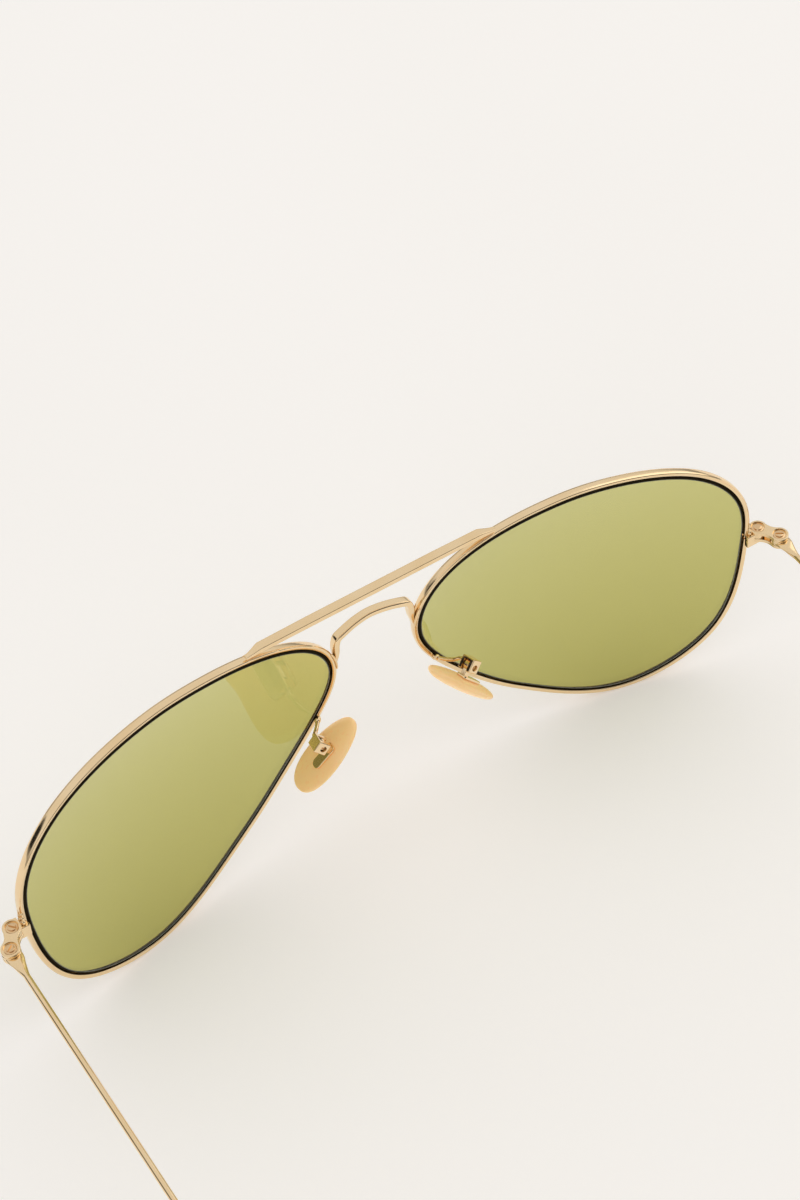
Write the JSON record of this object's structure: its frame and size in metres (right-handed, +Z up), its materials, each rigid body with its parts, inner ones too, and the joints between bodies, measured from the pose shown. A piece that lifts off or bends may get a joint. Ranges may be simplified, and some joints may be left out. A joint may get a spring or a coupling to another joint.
{
  "type": "aviator sunglasses",
  "caption": "Wire-frame aviator sunglasses with tinted teardrop lenses, a brow bar over the bridge, rocking nose pads and folding temples with bent tips.",
  "frame": {"origin": "middle of the footprint on the surface that the open glasses stand on", "axes": "+X to the wearer's left, +Y from the lenses back along the open temples, +Z up"},
  "size_m": [0.1392, 0.143, 0.0503],
  "materials": {
    "gold_metal": "polished pale gold plating",
    "screw_metal": "polished gold plating",
    "lens_glass": "polished, olive green tint",
    "pad_plastic": "moulded, translucent honey",
    "tip_plastic": "moulded, translucent honey"
  },
  "bodies": {
    "front": {"bridge": "gold_metal", "brow_bar": "gold_metal", "lens_left": "lens_glass", "lens_right": "lens_glass", "rim_left": "gold_metal", "rim_right": "gold_metal", "endpiece_upper_left": "gold_metal", "endpiece_upper_right": "gold_metal", "endpiece_lower_left": "gold_metal", "endpiece_lower_right": "gold_metal", "rim_screw_left": "screw_metal", "rim_screw_right": "screw_metal", "hinge_screw_left": "screw_metal", "hinge_screw_right": "screw_metal", "pad_arm_left": "gold_metal", "pad_arm_right": "gold_metal", "pad_box_left": "gold_metal", "pad_box_right": "gold_metal", "pad_screw_left": "screw_metal", "pad_screw_right": "screw_metal"},
    "temple_left": {"temple_hinge_left": "gold_metal", "temple_wire_left": "gold_metal", "temple_tip_left": "tip_plastic"},
    "temple_right": {"temple_hinge_right": "gold_metal", "temple_wire_right": "gold_metal", "temple_tip_right": "tip_plastic"},
    "pad_left": {"nose_pad_left": "pad_plastic", "pad_stem_left": "gold_metal"},
    "pad_right": {"nose_pad_right": "pad_plastic", "pad_stem_right": "gold_metal"}
  },
  "joints": [
    {"name": "temple_fold_left", "type": "hinge", "parent": "front", "child": "temple_left", "pos_m": [0.0681, -0.05805, 0.02626], "axis": [0, -0.0523, 0.9986], "range_deg": [0, 90]},
    {"name": "temple_fold_right", "type": "hinge", "parent": "front", "child": "temple_right", "pos_m": [-0.0681, -0.05805, 0.02626], "axis": [0, 0.0523, -0.9986], "range_deg": [0, 87.5]},
    {"name": "pad_rock_left", "type": "hinge", "parent": "front", "child": "pad_left", "pos_m": [0.01325, -0.06328, 0.02798], "axis": [0.1553, 0.9597, 0.234], "range_deg": [-3.5, 16.5]},
    {"name": "pad_rock_right", "type": "hinge", "parent": "front", "child": "pad_right", "pos_m": [-0.01325, -0.06328, 0.02798], "axis": [-0.1553, 0.9597, 0.234], "range_deg": [-3.5, 16.5]}
  ]
}
